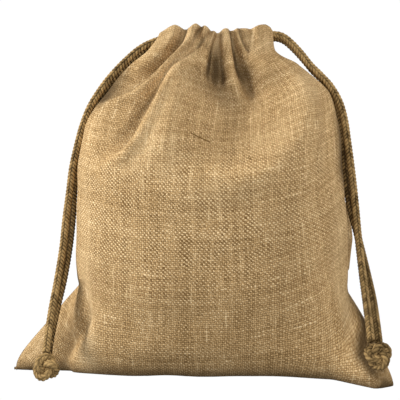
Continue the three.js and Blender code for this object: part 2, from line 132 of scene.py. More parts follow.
# Folds of the front as seen from the front: x and z along each, how deep it cuts in, and half its width.
FRONT_FOLDS = {
    "left_shoulder": [
        (-18, 324, 13, 3), (-24, 304, 13, 3.2), (-34, 291, 12, 3.8), (-46, 281, 11, 4.6),
        (-58, 272, 10, 6), (-71, 264, 8, 7), (-84, 257, 5, 7), (-98, 250, 1, 7),
    ],
    "shoulder_ridge": [
        (-14, 304, -2, 3.5), (-26, 289, -5, 4.5), (-40, 277, -6, 5), (-53, 267, -5, 6),
        (-66, 260, -4, 7), (-80, 252, -3, 8), (-97, 246, 0, 8),
    ],
    "left_sweep": [
        (-1, 324, 7, 2.8), (-6, 304, 6, 2.8), (-17, 291, 5, 3), (-26, 283, 7, 4), (-36, 273, 9, 5),
        (-44, 262, 9, 6), (-54, 244, 9, 6.5), (-64, 222, 8, 7), (-75, 208, 6, 7), (-86, 201, 4, 8),
        (-99, 195, 0, 8),
    ],
    "left_ridge": [
        (-13, 291, -1, 4), (-29, 276, -3, 5), (-37, 264, -4, 6), (-43, 251, -5, 7), (-51, 236, -5, 8),
        (-58, 222, -5, 8), (-67, 209, -4, 8), (-78, 200, -3, 8), (-92, 193, 0, 8),
    ],
    "left_leaf": [(-46, 268, 2, 10), (-62, 246, 4, 14), (-76, 224, 4, 16), (-92, 208, 1, 16)],
    "pleat_two": [(8, 324, 9, 3.2), (4, 305, 8, 3.4), (-3, 296, 0, 4)],
    "hollow": [
        (15, 324, 13, 3), (12, 303, 16, 4), (11, 290, 21, 6.5), (11.5, 278, 14, 8), (12, 266, 5, 9),
        (13, 252, 0, 10),
    ],
    "right_sweep": [
        (25, 324, 10, 3), (29.5, 300, 13, 3.4), (35, 284, 15, 4.8), (43, 268, 9, 7), (52, 250, 0, 10),
    ],
    "pleat_three": [(34.5, 324, 11, 3.2), (39, 304, 9, 3.6), (45, 294, 0, 4)],
    "pleat_four": [(43.5, 324, 11, 3.2), (45, 306, 9, 3.6), (49, 295, 0, 4)],
    "middle": [
        (14, 302, 3, 14), (16, 288, 8, 22), (19, 272, 14, 26), (23, 254, 19, 28), (26, 238, 20, 30),
        (26, 220, 15, 33), (24, 200, 8, 35), (22, 180, 0, 36),
    ],
    "middle_edge": [(38, 294, 4, 6), (42, 282, 8, 8), (46, 268, 8, 9), (49, 256, 5, 10), (50, 242, 0, 12)],
    "middle_lip": [
        (80, 272, -2, 10), (87, 256, -6, 12), (90, 240, -8, 14), (86, 220, -8, 15), (76, 202, -8, 15),
        (57, 186, -7, 15), (30, 176, -5, 15), (0, 180, 0, 15),
    ],
    "left_puff": [
        (-22, 270, -3, 9), (-26, 252, -6, 12), (-31, 230, -8, 15), (-36, 206, -7, 17), (-40, 176, 0, 18),
    ],
    "right_corner": [
        (84, 278, -1, 9), (91, 262, -3, 12), (98, 240, -4, 14), (99, 212, -4, 16), (95, 184, -3, 18),
        (92, 150, 0, 20),
    ],
    "right_side": [(99, 264, 1, 7), (108, 238, 3, 8), (110, 206, 3, 9), (108, 176, 2, 10), (106, 150, 0, 10)],
    "left_ear": [(-111, 78, 3, 5), (-108, 52, 9, 7), (-116, 33, 9, 7), (-134, 13, 3, 6)],
    "right_ear": [(128, 66, 1, 9), (135, 40, 4, 11), (141, 20, 1, 10)],
}
FOLD_LIMIT = 0.7

# Sharp creases at the bottom of the front's folds, and soft swellings beside them, in the same columns.
CREASES = {
    "sweep_swell": [
        (-17, 291, -2, 4), (-26, 283, -4, 5), (-36, 273, -4, 5), (-44, 262, -3, 6), (-52, 248, 0, 6),
    ],
    "sweep_crease": [
        (-32, 278, 0, 2.5), (-42.5, 259, 2.5, 2.5), (-51, 239, 3, 2.5), (-64.5, 217, 3, 2.5),
        (-75.5, 203, 2, 3), (-92, 194, 0, 3),
    ],
    "sweep_rise": [
        (-28, 274, 0, 4), (-36.5, 256, -3, 5), (-44.5, 235.5, -4.5, 6.5), (-58.5, 212, -4.5, 6.5),
        (-71, 197, -3.5, 6), (-90, 188, 0, 6),
    ],
    "shoulder_crease": [
        (-28, 288, 0, 2), (-49, 270.5, 2, 2.2), (-65.2, 258.2, 2, 2.4), (-82, 250.6, 1.5, 2.6),
        (-96, 247, 0, 2.6),
    ],
    "shoulder_rise": [
        (-25, 283, 0, 4), (-46, 266, -3, 4), (-63, 253.3, -3, 4.5), (-80, 245.8, -2.5, 5), (-94, 243, 0, 5),
    ],
    "pleat_four_swell": [(25, 322, -4, 3.4), (29, 303, -4, 3.4), (32, 292, 0, 4)],
    "pleat_five_swell": [(35, 322, -4, 3.4), (39, 304, -4, 3.6), (44, 296, 0, 4)],
    "pleat_six_swell": [(43.5, 322, -4, 3.4), (45, 306, -4, 3.6), (49, 297, 0, 4)],
    "pleat_one_swell": [(-9, 318, -3, 3.4), (-12, 308, -3, 3.2), (-18, 299, -3, 3.2), (-26, 289, 0, 4)],
    "pleat_two_swell": [(3, 318, -3, 2.8), (0, 309, -3, 2.8), (-8, 301, -2, 2.8), (-16, 294, 0, 3)],
    "puff_edge": [
        (-16, 318, 5, 1.8), (-19, 308, 6, 1.8), (-22, 300, 5, 2), (-30, 291, 3, 2), (-38, 282, 2, 2.4),
        (-46, 274, 0, 2.5),
    ],
    "pleat_one": [
        (-1, 318, 4.5, 1.5), (-4, 312, 5.5, 1.6), (-13, 300, 5, 1.6), (-19, 293, 4, 1.5), (-29, 282, 3, 1.5),
        (-39, 270, 3, 1.8), (-45, 258, 0, 2),
    ],
    "pleat_two": [(8, 318, 4.5, 1.5), (5.5, 312, 5.5, 1.5), (-5.5, 298.5, 5, 1.7), (-9, 296, 0, 1.8)],
    "hollow_left": [
        (13, 316, 3, 1.2), (9, 304, 5, 1.4), (4.5, 287, 6, 2), (3, 278, 4, 2.6), (5, 268, 0, 3),
    ],
    "hollow_right": [
        (14, 312, 3, 1.2), (13.5, 303, 4, 1.2), (16, 291, 5, 1.6), (18, 278, 5, 2.4), (17, 268, 0, 3),
    ],
    "sweep_edge": [
        (24, 318, 4.5, 1.5), (25.5, 310, 5.5, 1.6), (28.5, 298.5, 6, 1.8), (31.5, 287.5, 6, 2.2),
        (35, 281, 5, 2.6), (42, 270, 2, 4), (49, 257, 0, 6),
    ],
    "pleat_three": [
        (33, 318, 4.5, 1.5), (34, 311, 5.5, 1.7), (38, 302, 5.5, 1.8), (42.5, 296, 4, 2), (45, 293, 0, 2),
    ],
}

# Places of the front with painted shade, and with painted highlight where the share is less than 0.
# The columns are x and z, the share, and half the width.
PAINTED_SHADE_AND_HIGHLIGHT = {
    "under_pleats": [
        (-22, 274, 0.12, 9), (-8, 272, 0.25, 12), (6, 267, 0.38, 13), (18, 263, 0.4, 14),
        (32, 258, 0.3, 13), (46, 256, 0.2, 12), (54, 262, 0.1, 9),
    ],
    "hollow_floor": [(6, 291, 0.2, 5), (11, 286, 0.5, 6), (11, 279, 0.5, 7), (12, 271, 0.05, 8)],
    "hollow_top": [(11, 320, -0.4, 5), (9, 309, -0.5, 6), (9, 300, -0.32, 6), (10, 288, 0, 6)],
    "right_of_pleats": [
        (34, 292, 0.35, 4), (40, 282, 0.7, 6), (46, 275, 0.45, 8), (54, 269, 0.3, 9), (76, 272, 0.12, 8),
    ],
    "left_valley": [(-34, 296, 0.1, 5), (-44, 287, 0.35, 6), (-54, 279, 0.1, 6)],
    "left_hollow": [
        (-104, 240, 0.3, 5), (-97, 250, 0.8, 7), (-88, 262, 0.85, 9), (-78, 275, 0.7, 8),
        (-68, 285, 0.1, 6),
    ],
    "sweep_dark": [
        (-33, 279, 0, 4), (-46, 260, 0.35, 5), (-55, 241, 0.42, 7), (-68.5, 220.5, 0.2, 7),
        (-79, 207, 0.12, 6), (-92, 198, 0, 5),
    ],
    "sweep_lit": [
        (-31, 254, -0.12, 6), (-39, 233, -0.24, 8), (-52, 208, -0.24, 8), (-65, 192, -0.15, 7),
        (-84, 183, 0, 6),
    ],
    "shoulder_dark": [
        (-28, 289.5, 0.2, 4), (-50, 272, 0.3, 5), (-66, 260, 0.25, 5), (-82, 252.5, 0.25, 5),
        (-94, 249, 0.3, 4),
    ],
    "left_puff": [(-88, 236, 0.12, 18), (-74, 222, 0.12, 18)],
    "right_edge": [(123, 234, 0.3, 3), (126, 214, 0.95, 4.5), (127.5, 182, 0.95, 5), (129, 156, 0.2, 3)],
    "right_belly": [(78, 164, 0.06, 16), (70, 142, 0.12, 18), (78, 64, 0.1, 26)],
    "beside_knot": [
        (141, 58, 0.4, 4), (143, 47, 0.85, 5), (141, 36, 0.95, 7), (138, 26, 0.95, 7), (145, 14, 0.9, 6),
        (154, 8, 0.4, 5),
    ],
    "left_ear": [
        (-113, 64, 0.15, 6), (-117, 51, 0.3, 7), (-122, 40, 0.4, 8), (-129, 27, 0.5, 7),
        (-132, 8, 0.55, 6),
    ],
    "pleat_tops": [
        (-44, 300, -0.1, 8), (-24, 312, -0.3, 8), (0, 310, -0.35, 8), (34, 305, -0.35, 9),
        (56, 300, -0.25, 10),
    ],
    "shoulder": [
        (-10, 302, -0.4, 6), (-22, 286, -0.5, 6), (-36, 272, -0.5, 6), (-49, 262, -0.4, 6),
        (-62, 255, -0.15, 5),
    ],
    "left_top": [(-50, 300, -0.2, 7), (-60, 293, -0.35, 7), (-68, 286, -0.1, 6)],
    "sweep_side": [(30, 278, -0.2, 5), (35, 270, -0.35, 5), (41, 258, -0.2, 5)],
    "lip": [(96, 272, -0.25, 9), (92, 254, -0.3, 12), (82, 236, -0.12, 12), (66, 206, -0.1, 14)],
    "right_side": [
        (122, 164, -0.1, 8), (123, 142, -0.28, 8), (121, 112, -0.28, 8), (121, 82, -0.35, 8),
        (128, 62, -0.45, 7), (131, 48, -0.4, 5), (128, 36, 0, 5),
    ],
    "left_side": [
        (-104, 168, -0.1, 10), (-105, 120, -0.15, 10), (-107, 84, -0.35, 8), (-106, 50, -0.65, 7),
        (-103, 12, -0.6, 8),
    ],
    "ear_tip": [(-146, 36, -0.15, 9), (-156, 18, -0.3, 9)],
    "belly": [
        (-74, 190, -0.1, 12), (-36, 196, -0.15, 12), (-20, 156, -0.08, 14), (30, 164, -0.1, 14),
        (60, 170, -0.08, 14),
    ],
}
# The most painted shade that the places above give.
SPOT_MOST = 0.9

# The cloth gets painted shade along the base and inside, and the painted places above fade where it turns
# away from the front.
BASE_SHADE = 0.65
BASE_SHADE_HIGH = 13
INNER_SHADE = 0.3
FACING = (-0.02, 0.14)

# Deep folds and creases get painted shade; folds wider than the narrow ones less so.
FOLD_SHADE_MOST = 0.82
FOLD_SHADE_FROM = 5
FOLD_SHADE_FULL = 22
CREASE_SHADE_FULL = 6
NARROW_FOLD = 10
WIDE_SHARE = 0.4

# The back is gathered too: even pleats, long and short by turns, shallower and wider on their way down.
BACK_PLEATS = dict(
    count=7, first=-28, last=46, deep=9, half=3.2, short=22, long=46, spread=1.5,
    top=324, mouth=316, midway_deep=0.8, midway_half=1.2, foot_half=2,
)

# The back cloth stands out a little beside the right seam.
BACK_BULGE = [
    (130, 168, 0, 12), (129, 146, -13, 13), (127, 116, -17, 14), (123, 90, -16, 13), (118, 72, 0, 10),
]

# The hem's edge rises and falls with the pleats.
RIM = [
    (-43, -6), (-37, -2.5), (-32, 0.5), (-27, 2), (-20, 0), (-15, -1), (-7, 3), (4, 0), (12, -3),
    (20, -1), (27, -2), (34, 0), (44, -1), (52, 2), (57, 2.5), (62, 0), (66, -6),
]

# The routes of the cords, from the gathered mouth down to the knots.
CORDS = {
    "cord_left_front": [
        (-34, -4, 307), (-46, -5, 304), (-60, -6, 297), (-74, -7, 285), (-88, -8, 270), (-98.5, -8, 256),
        (-107.5, -8, 241), (-114, -9, 224), (-119, -10, 205), (-123.5, -11, 184), (-126, -13, 162),
        (-128.5, -19, 138), (-130, -29, 112), (-133, -42, 84), (-136, -56, 60), (-137.5, -69, 40),
        (-138.1, -79.1, 25.4),
    ],
    "cord_left_back": [
        (-34, 4, 306), (-46, 5, 302), (-59, 5, 294.5), (-72.4, 4.4, 282.6), (-85.4, 3.4, 268.8),
        (-96.2, 1.8, 256.2), (-105.4, 1.4, 241.6), (-114.5, 1, 225), (-119.5, 1, 205), (-122, 0, 184),
        (-123.5, -2, 162), (-124, -9, 138), (-125.5, -20, 112), (-128.8, -34, 84), (-133, -48, 60),
        (-136, -60, 40), (-137.8, -72.8, 20.5),
    ],
    "cord_right_front": [
        (56, -4, 309), (68, -6, 310), (76, -8, 307), (84, -9, 300), (92, -10, 291), (100, -10, 281),
        (110, -10.5, 271), (119, -10.5, 261), (127.2, -10.5, 246.5), (132, -10, 230), (135, -10, 210),
        (139, -10, 180), (142, -12, 150), (143, -24, 121), (143.5, -46, 91), (143.5, -67, 70),
        (142.5, -89, 55), (141.4, -108.4, 42),
    ],
    "cord_right_back": [
        (56, 4, 307), (68, 4, 308), (77, 3, 305), (86, 1, 297), (95, 0, 287), (104, -1, 276),
        (114.2, -1, 266), (122.6, -1, 254), (128.2, -1, 237), (131.6, -1, 212), (134, -1, 180),
        (138, -3, 150), (144, -14, 121), (148.5, -38, 91), (150.5, -60, 70), (150, -81, 55),
        (148.8, -104, 39.2),
    ],
}
KNOTS = {
    "knot_left": dict(at=(-138, -82, 13), reach=12.5, turned=(90, 20, 0)),
    "knot_right": dict(at=(147, -112, 30), reach=12.5, turned=(70, -35, 10)),
}
KNOT_POINTS = 48
KNOT_DEEP = 1.25
PATH_STEPS = 24

# The braid: strands in columns, their pitch and slant, the mesh's points round and step along the cord.
BRAID_COLUMNS = 4
BRAID_PITCH = 3.4
BRAID_SLANT = 1.1
BRAID_SIDES = 48
BRAID_STEP = 0.55
BRAID_START = (0.3, 0.2, 0.93)

# One strand: how round it is, its radius in the gaps and on top, and its tone in the gap and the rise on top,
# which paint shade into the gaps between strands.
STRAND_ROUND_ALONG = 0.8
STRAND_ROUND_ACROSS = 0.4
GAP_RADIUS = 0.82
STRAND_HIGH = 0.26
CORD_TONE = (0.0, 0.95)
KNOT_TONE = (0.3, 0.55)
TIP_TONE = 0.3
STRAND_OWN = 0.25
STRAND_TONES = 97

# Painted shade on the cords, low down, at half height and at the mouth; below 0 it is painted highlight.
CORD_SHADE_HEIGHTS = (50, 200, 280)
CORD_PAINTED_SHADE = {
    "cord_left_front": (0, 0.06, 0.1),
    "cord_left_back": (0.3, 0.36, 0.2),
    "cord_right_front": (0.15, -0.02, -0.1),
    "cord_right_back": (0.3, 0.36, -0.05),
    "knot_left": (-0.1, -0.1, -0.1),
    "knot_right": (0.18, 0.18, 0.18),
}


def smooth(start, end, value):
    share = np.clip((value - start) / (end - start), 0, 1)
    return share * share * (3 - 2 * share)


# The value of one column of a table, on a smooth curve that does not overshoot its rows.
def follow(places, values, at):
    places = np.asarray(places, float)
    values = np.asarray(values, float)
    steps = np.diff(values) / np.diff(places)
    before, after = steps[:-1], steps[1:]
    turning = before * after <= 0
    middle = np.where(turning, 0, 2 * before * after / np.where(turning, 1, before + after))
    slopes = np.concatenate([steps[:1], middle, steps[-1:]])
    i = np.clip(np.searchsorted(places, at, side="left") - 1, 0, len(places) - 2)
    length = places[i + 1] - places[i]
    share = np.clip((at - places[i]) / length, 0, 1)
    rise = share * share * (3 - 2 * share)
    bend = length * share * (1 - share) * (slopes[i] * (1 - share) - slopes[i + 1] * share)
    return values[i] * (1 - rise) + values[i + 1] * rise + bend


def sections_at(runs):
    table = np.array(SECTIONS, float)
    return {
        name: follow(table[:, 0], table[:, i], runs)[:, None] for i, name in enumerate(SECTION_COLUMNS)
    }


# Points of the body before its ears and folds: turn goes from -1 at the left seam to 1 at the right.
def body_points(runs, side, turn):
    row = sections_at(runs)
    away = np.abs(turn)[None, :]
    angle = away * math.pi / 2
    across = np.sin(angle) ** (2 / row["square"])
    forward = np.maximum(0, np.cos(angle)) ** (2 / row["square"])
    reach = np.where(turn < 0, row["left"], row["right"]) - BODY_MIDDLE_X
    tuck = SEAM_TUCK * smooth(*TUCK_NEAR, away) * np.sign(turn)
    low = smooth(*LIFT_NEAR, away)
    lift = low + (away * away - low) * smooth(*LIFT_RUN, row["run"])
    high = smooth(CLOTH_TALL - SLOT_FROM, CLOTH_TALL - SLOT_FULL, row["run"])
    slot = CASING_SLOT / 2 * high * smooth(*SLOT_NEAR, away)
    x = BODY_MIDDLE_X + reach * across - tuck
    y = (row["front"] if side < 0 else row["back"]) * forward + side * slot * (1 - forward)
    z = row["z"] + (row["seam_z"] - row["z"]) * lift
    return np.stack([x, y, z], axis=-1)


# Rows of the body spaced along their length by the places given, which go from -1 to 1.
def even_rows(runs, side, places):
    turn = np.linspace(-1, 1, FINE_COLUMNS)
    fine = body_points(runs, side, turn)
    steps = np.linalg.norm(np.diff(fine, axis=1), axis=-1)
    lengths = np.concatenate([np.zeros((len(runs), 1)), np.cumsum(steps, axis=1)], axis=1)
    rows = []
    for points, length in zip(fine, lengths):
        wanted = length[-1] * (places + 1) / 2
        rows.append(np.stack([np.interp(wanted, length, points[:, k]) for k in range(3)], axis=-1))
    return np.array(rows), lengths[:, -1]


# Where points of the body come to lie once the ears are drawn out of it.
def drawn_out(points):
    moved = points.copy()
    for ear in EARS:
        corner = SECTIONS[0][5] if ear["side"] < 0 else SECTIONS[0][6]
        edge = corner - ear["side"] * SEAM_TUCK
        inside = np.maximum(0, ear["side"] * (edge - points[..., 0])) / ear["wide"]

        def share(deep):
            parts = inside**2 + (points[..., 2] / ear["tall"]) ** 2 + (points[..., 1] / deep) ** 2
            away = np.sqrt(parts + EAR_BLUNT**2) - EAR_BLUNT
            left = np.maximum(0, 1 - away / (math.hypot(1, EAR_BLUNT) - EAR_BLUNT))
            return (1 + EAR_SOFT) * left * left / (left + EAR_SOFT)

        drawn = (1 - ear["skirt"]) * share(ear["flap"]) + ear["skirt"] * share(ear["skirt_deep"])
        moved[..., 0] += (ear["tip"] - corner) * drawn
        out = ear["side"] * moved[..., 0]
        reach = ear["side"] * ear["tip"]
        low = 1 - smooth(0, ear["sway_tall"], points[..., 2])
        moved[..., 1] += ear["sway"] * smooth(ear["sway_from"], reach, out) * low
        beyond = np.maximum(0, (out - ear["bend_from"]) / (reach - ear["bend_from"]))
        moved[..., 1] += ear["bend"] * beyond**EAR_BEND_CURVE
    return moved


# How deep a fold cuts in at points seen from the front.
def fold_depth(fold, x, z):
    nearest = np.full(x.shape, np.inf)
    depth = np.zeros(x.shape)
    for (ax, az, a_deep, a_half), (bx, bz, b_deep, b_half) in zip(fold, fold[1:]):
        along_x, along_z = bx - ax, bz - az
        share = ((x - ax) * along_x + (z - az) * along_z) / (along_x**2 + along_z**2)
        share = np.clip(share, 0, 1)
        away = np.hypot(x - ax - along_x * share, z - az - along_z * share)
        ratio = away / (a_half + (b_half - a_half) * share)
        closer = ratio < nearest
        nearest = np.where(closer, ratio, nearest)
        depth = np.where(closer, (a_deep + (b_deep - a_deep) * share) * np.exp(-ratio * ratio), depth)
    return depth


def back_folds():
    pleats = BACK_PLEATS
    folds = []
    for i in range(pleats["count"]):
        x = pleats["first"] + (pleats["last"] - pleats["first"]) * i / (pleats["count"] - 1)
        drop = pleats["long"] if i % 2 else pleats["short"]
        foot = BODY_MIDDLE_X + (x - BODY_MIDDLE_X) * pleats["spread"]
        deep, half = pleats["deep"] * pleats["midway_deep"], pleats["half"] * pleats["midway_half"]
        start = (x, pleats["top"], pleats["deep"], pleats["half"])
        midway = ((x + foot) / 2, pleats["mouth"] - drop / 2, deep, half)
        end = (foot, pleats["mouth"] - drop, 0, pleats["half"] * pleats["foot_half"])
        folds.append([start, midway, end])
    return folds


def grid_normals(grid, side):
    across = np.gradient(grid, axis=1)
    up = np.gradient(grid, axis=0)
    normal = -side * np.cross(across, up)
    return normal / np.maximum(np.linalg.norm(normal, axis=-1, keepdims=True), 1e-9)


# Slight unevenness of the cloth, as a few long waves laid over each other.
def lumps(u, v, seed):
    rng = np.random.default_rng(seed)
    total = np.zeros(u.shape)
    for _ in range(LUMP_WAVES):
        angle = rng.uniform(0, math.pi)
        length = rng.uniform(*LUMP_LENGTHS)
        start = rng.uniform(0, 2 * math.pi)
        way = (u * math.cos(angle) + v * math.sin(angle)) * 2 * math.pi / length
        total += np.sin(way + start) * length / LUMP_LENGTHS[1]
    return total / math.sqrt(LUMP_WAVES)


# A smooth mesh in metres, with named values on its points.
def mesh_object(name, points, faces, attributes):
    mesh = bpy.data.meshes.new(name)
    mesh.from_pydata((points * MM).tolist(), [], faces)
    for label, values in attributes.items():
        kind, field = ("FLOAT_VECTOR", "vector") if values.ndim == 2 else ("FLOAT", "value")
        layer = mesh.attributes.new(label, kind, "POINT")
        layer.data.foreach_set(field, values.astype(np.float32).ravel())
    mesh.polygons.foreach_set("use_smooth", np.ones(len(mesh.polygons), dtype=bool))
    mesh.update()
    piece = bpy.data.objects.new(name, mesh)
    bpy.context.collection.objects.link(piece)
    return piece


def quads(first, second):
    return np.stack([first[:-1], first[1:], second[1:], second[:-1]], axis=-1).reshape(-1, 4)


# The grid of a panel before its folds: where each point lies on the cloth, on the body and as seen.
# place goes from 0 in the middle to 1 at the side seams. standoff is 0 along the base seam and grows to 1.
def panel_grid(side):
    low = np.linspace(0, CLOSE_ROWS_FROM, ROWS_BELOW, endpoint=False)
    runs = np.concatenate([low, np.linspace(CLOSE_ROWS_FROM, CLOTH_TALL, ROWS_ABOVE)])
    share = np.linspace(-1, 1, COLUMNS)
    places = share * (MIDDLE_STEP + SEAM_STEP * share * share)
    body, lengths = even_rows(runs, side, places)
    run = np.repeat(runs[:, None], COLUMNS, axis=1)
    place = np.repeat(np.abs(places)[None, :], len(runs), axis=0)
    return SimpleNamespace(
        side=side,
        body=body,
        seen=drawn_out(body),
        run=run,
        place=place,
        u=places[None, :] * (0.5 * CLOTH_WIDE + 0.5 * lengths[:, None]) / 2,
        standoff=np.maximum(smooth(*SEAM_NEAR, place), smooth(0, BASE_RUN, run)),
    )


# How deep each line of a table cuts in over the grid.
def depths(lines, grid):
    return [fold_depth(line, grid.seen[..., 0], grid.seen[..., 2]) for line in lines]


# The outer face before its ears are drawn out: the body cut in by folds, its hem's edge uneven.
def outer_face(grid, folds, pinch, swell, seed):
    side, body = grid.side, grid.body
    inward = sum(depths(folds, grid))
    if side > 0:
        inward = inward + depths([BACK_BULGE], grid)[0] * (1 - smooth(*BULGE_FADE, grid.place))
    free = smooth(0, LUMPS_FULL, grid.run) * (1 - smooth(*LUMPS_FADE, grid.place))
    inward = inward + pinch + swell + LUMPS_HIGH * lumps(grid.u, grid.run, seed) * free
    most = FOLD_LIMIT * np.abs(body[..., 1])
    outer = body - grid_normals(body, side) * np.minimum(inward, most)[..., None]
    outer[..., 1] += side * (SEAM_GAP / 2 + SEAM_EDGE * grid.standoff)
    rim = np.array(RIM, float)
    rise = follow(rim[:, 0], rim[:, 1], np.clip(body[..., 0], rim[0, 0], rim[-1, 0]))
    outer[..., 2] += rise * smooth(CLOTH_TALL - HEM_DEEP, CLOTH_TALL, grid.run)
    return outer


# The inner face: a cloth's thickness further in, more at the doubled hem, and clear of the other panel.
def inner_face(grid, outer):
    side = grid.side
    hem = smooth(CLOTH_TALL - HEM_FROM, CLOTH_TALL - HEM_FULL, grid.run)
    straight = np.zeros_like(outer)
    straight[..., 1] = -side * HEM_THICK
    even = (hem * (1 - smooth(*HEM_FADE, grid.place)))[..., None]
    sheet = -grid_normals(outer, side) * CLOTH_THICK * (1 - even) + straight * even
    ends = hem[:, 0]
    sheet[:, 0] = np.stack([1 + ends, -side * SEAM_EDGE * (1 - ends), 0 * ends], axis=-1)
    sheet[:, -1] = sheet[:, 0] * np.array([-1, 1, 1])
    sheet[0, :, 0] = 0
    sheet[0, :, 1] = -side * SEAM_EDGE * grid.standoff[0]
    sheet[0, :, 2] = CLOTH_THICK
    inner = outer + sheet
    limit = side * SEAM_GAP / 2
    inner[..., 1] = np.where(side * (inner[..., 1] - limit) < 0, limit, inner[..., 1])
    return inner


# Faces of a sheet whose rows go up the outer face, over the crown and down the inner face.
def sheet_faces(count, wide, side):
    ids = np.arange(count * wide).reshape(count, wide)
    ring = np.concatenate([ids, ids[:1]])
    caps = []
    for a in range(count // 2 - 1):
        b, c, d = a + 1, count - 2 - a, count - 1 - a
        caps.append((ids[a, 0], ids[d, 0], ids[c, 0], ids[b, 0]))
        caps.append((ids[a, -1], ids[b, -1], ids[c, -1], ids[d, -1]))
    faces = np.concatenate([quads(a, b) for a, b in zip(ring, ring[1:])] + [np.array(caps)])
    return faces[:, ::-1] if side > 0 else faces


# Where each point lies in the weave: upright threads lean on the right, level ones rise to the right.
def weave_places(grid, seed):
    u = grid.u + EAR_STRETCH * (grid.seen[..., 0] - grid.body[..., 0])
    below = np.clip(grid.run - LEAN_TOP, -LEAN_TALL, 0)
    u = u + WEAVE_LEAN * below * smooth(*LEAN_RIGHT, grid.u)
    inside = np.clip(grid.u, 0, RISE_STRAIGHT_FROM)
    beyond = np.maximum(0, grid.u - RISE_STRAIGHT_FROM)
    v = grid.run - WEAVE_RISE * (inside**2 + 2 * RISE_STRAIGHT_FROM * beyond)
    u = np.concatenate([u, u[-1:], u[::-1]])
    v = np.concatenate([v, v[-1:] + CROWN_LONG, v[::-1] + 2 * CROWN_LONG])
    return np.stack([u, v, np.full_like(u, seed)], axis=-1).reshape(-1, 3)


# How much painted shade each point gets, and how much painted highlight. The inner face gets even painted
# shade.
def sheet_tones(grid, outer, folds, pinch, swell, painted_spots):
    cut = np.zeros_like(grid.u)
    for fold, depth in zip(folds, depths(folds, grid)):
        share = 1 if max(row[3] for row in fold) <= NARROW_FOLD else WIDE_SHARE
        cut = np.maximum(cut, share * depth)
    deep = smooth(FOLD_SHADE_FROM, FOLD_SHADE_FULL, cut + swell)
    painted_shade = FOLD_SHADE_MOST * np.maximum(deep, smooth(0, CREASE_SHADE_FULL, pinch))
    spots = sum(depths(painted_spots, grid), np.zeros_like(grid.u))
    spots = spots * smooth(*FACING, grid.side * grid_normals(outer, grid.side)[..., 1])
    low = BASE_SHADE * (1 - smooth(0, BASE_SHADE_HIGH, grid.seen[..., 2]))
    painted_shade = 1 - (1 - painted_shade) * (1 - np.clip(spots, 0, SPOT_MOST)) * (1 - low)
    painted_highlight = np.maximum(-spots, 0)
    painted_shade = np.concatenate([painted_shade, painted_shade[-1:], np.full_like(painted_shade, INNER_SHADE)]).reshape(-1)
    painted_highlight = np.concatenate([painted_highlight, painted_highlight[-1:], np.zeros_like(painted_highlight)]).reshape(-1)
    return painted_shade, painted_highlight


# A sewn panel as a thin sheet: outer and inner faces on the same rows and columns, joined along the edges.
def panel(name, side, folds, creases, painted_spots, seed):
    grid = panel_grid(side)
    pinch, swell = np.zeros_like(grid.u), np.zeros_like(grid.u)
    for deep in depths(creases, grid):
        pinch, swell = np.maximum(pinch, deep), np.minimum(swell, deep)
    outer = outer_face(grid, folds, pinch, swell, seed)
    inner = drawn_out(inner_face(grid, outer))
    outer = drawn_out(outer)
    outer[..., 2] = np.maximum(outer[..., 2], 0)
    crown = (outer[-1] + inner[-1]) / 2 + np.array([0, 0, HEM_THICK * HEM_CROWN])
    rows = np.concatenate([outer, crown[None], inner[::-1]])
    faces = sheet_faces(len(rows), COLUMNS, side).tolist()
    painted_shade, painted_highlight = sheet_tones(grid, outer, folds, pinch, swell, painted_spots)
    attributes = {"weave": weave_places(grid, seed), "painted_shade": painted_shade, "painted_highlight": painted_highlight}
    return mesh_object(name, rows.reshape(-1, 3) + FRAME_SHIFT, faces, attributes)


# A smooth line through the points of a route, in even steps.
def even_path(points, step, closed=False):
    points = np.asarray(points, float)
    if closed:
        ends = np.concatenate([points[-1:], points, points[:2]])
    else:
        ends = np.concatenate([2 * points[:1] - points[1:2], points, 2 * points[-1:] - points[-2:-1]])
    share = np.linspace(0, 1, PATH_STEPS, endpoint=False)[:, None]
    fine = []
    for p, q, r, s in zip(ends, ends[1:], ends[2:], ends[3:]):
        curve = 2 * q + (r - p) * share + (2 * p - 5 * q + 4 * r - s) * share**2
        fine.append((curve + (3 * q - p - 3 * r + s) * share**3) / 2)
    fine = np.concatenate(fine + [ends[-2:-1]])
    lengths = np.concatenate([[0], np.cumsum(np.linalg.norm(np.diff(fine, axis=0), axis=1))])
    count = max(2, round(lengths[-1] / step))
    wanted = np.linspace(0, lengths[-1], count + 1)
    return np.stack([np.interp(wanted, lengths, fine[:, k]) for k in range(3)], axis=-1), wanted


# Two directions across a line at each of its points, carried along it without twist.
def across_line(line, closed):
    tangent = np.gradient(line, axis=0)
    if closed:
        tangent[0] = tangent[-1] = line[1] - line[-2]
    tangent /= np.linalg.norm(tangent, axis=1, keepdims=True)
    start = np.cross(tangent[0], BRAID_START)
    normals = [start / np.linalg.norm(start)]
    for way in tangent[1:]:
        normal = normals[-1] - way * np.dot(normals[-1], way)
        normals.append(normal / np.linalg.norm(normal))
    normals = np.array(normals)
    return normals, np.cross(tangent, normals)


